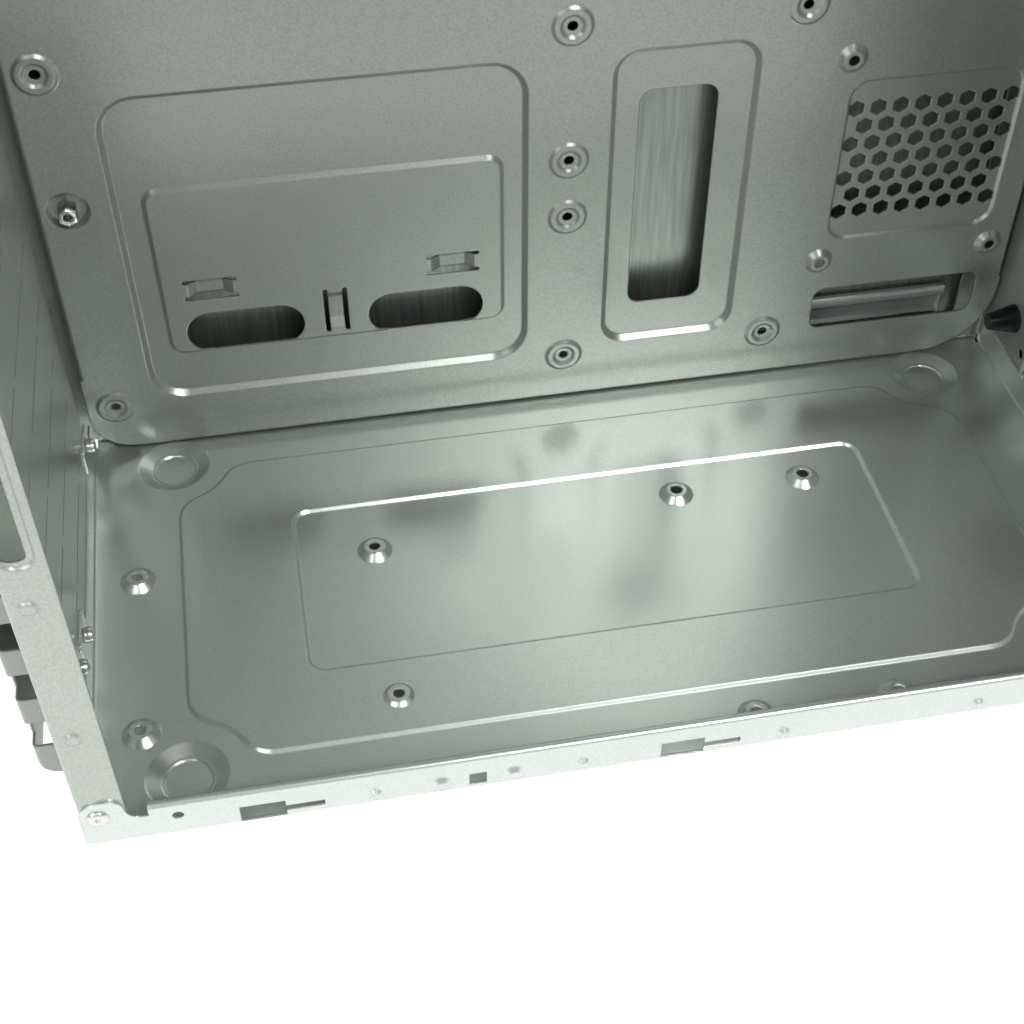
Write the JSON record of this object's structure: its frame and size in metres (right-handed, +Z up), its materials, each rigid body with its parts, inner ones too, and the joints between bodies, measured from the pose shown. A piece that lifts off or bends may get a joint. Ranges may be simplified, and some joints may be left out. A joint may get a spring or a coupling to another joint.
{
  "type": "mid-tower pc case",
  "caption": "Mid-tower computer case of folded galvanised sheet with its left side panel off, a pressed floor and board tray, a black front bezel with buttons and a sliding right panel.",
  "frame": {"origin": "on the ground under the middle of the case", "axes": "+X from the rear wall to the front bezel, -Y towards the open side, +Z up"},
  "size_m": [0.3778, 0.175, 0.4346],
  "materials": {
    "galvanised_steel": "galvanised sheet",
    "black_painted_steel": "fine satin",
    "black_plastic": "fine grain",
    "black_gloss_plastic": "gloss",
    "switch_plastic": "moulded",
    "circuit_board": "lacquered",
    "socket_metal": "plated",
    "socket_plastic": "gloss",
    "clear_plastic": "clear",
    "zinc_steel": "zinc plated",
    "brass": "turned",
    "foot_rubber": "matt",
    "rivet_aluminium": "plain"
  },
  "bodies": {
    "chassis": {"bottom_pan": "galvanised_steel", "rear_panel": "galvanised_steel", "motherboard_tray": "galvanised_steel", "front_frame": "galvanised_steel", "slot_screw_guard": "galvanised_steel", "psu_ledge": "galvanised_steel", "top_panel": "black_painted_steel", "front_bezel": "black_plastic", "power_switch": "switch_plastic", "reset_switch": "switch_plastic", "front_io_board": "circuit_board", "usb_sockets": "socket_metal", "audio_sockets": "socket_plastic", "led_light_pipes": "clear_plastic", "io_board_screws": "zinc_steel", "board_standoff": "brass", "foot_pad_rear_left": "foot_rubber", "foot_pad_rear_right": "foot_rubber", "foot_pad_front_left": "foot_rubber", "foot_pad_front_right": "foot_rubber", "rear_rivets": "rivet_aluminium", "front_rivets": "rivet_aluminium", "corner_rivets": "rivet_aluminium", "tray_rivets": "rivet_aluminium", "guard_rivets": "rivet_aluminium", "ledge_rivets": "rivet_aluminium"},
    "power_button": {"power_button": "black_gloss_plastic"},
    "reset_button": {"reset_button": "black_gloss_plastic"},
    "right_side_panel": {"right_side_panel": "black_painted_steel", "side_panel_screws": "zinc_steel"}
  },
  "joints": [
    {"name": "power_button_push", "type": "slide", "parent": "chassis", "child": "power_button", "axis": [-1, 0, 0], "range_m": [0, 0.0015], "stiffness_N_per_m": 600, "springref_m": -0.001},
    {"name": "reset_button_push", "type": "slide", "parent": "chassis", "child": "reset_button", "axis": [-1, 0, 0], "range_m": [0, 0.0015], "stiffness_N_per_m": 600, "springref_m": -0.001},
    {"name": "right_panel_slide", "type": "slide", "parent": "chassis", "child": "right_side_panel", "axis": [-1, 0, 0], "range_m": [0, 0.0122]}
  ]
}
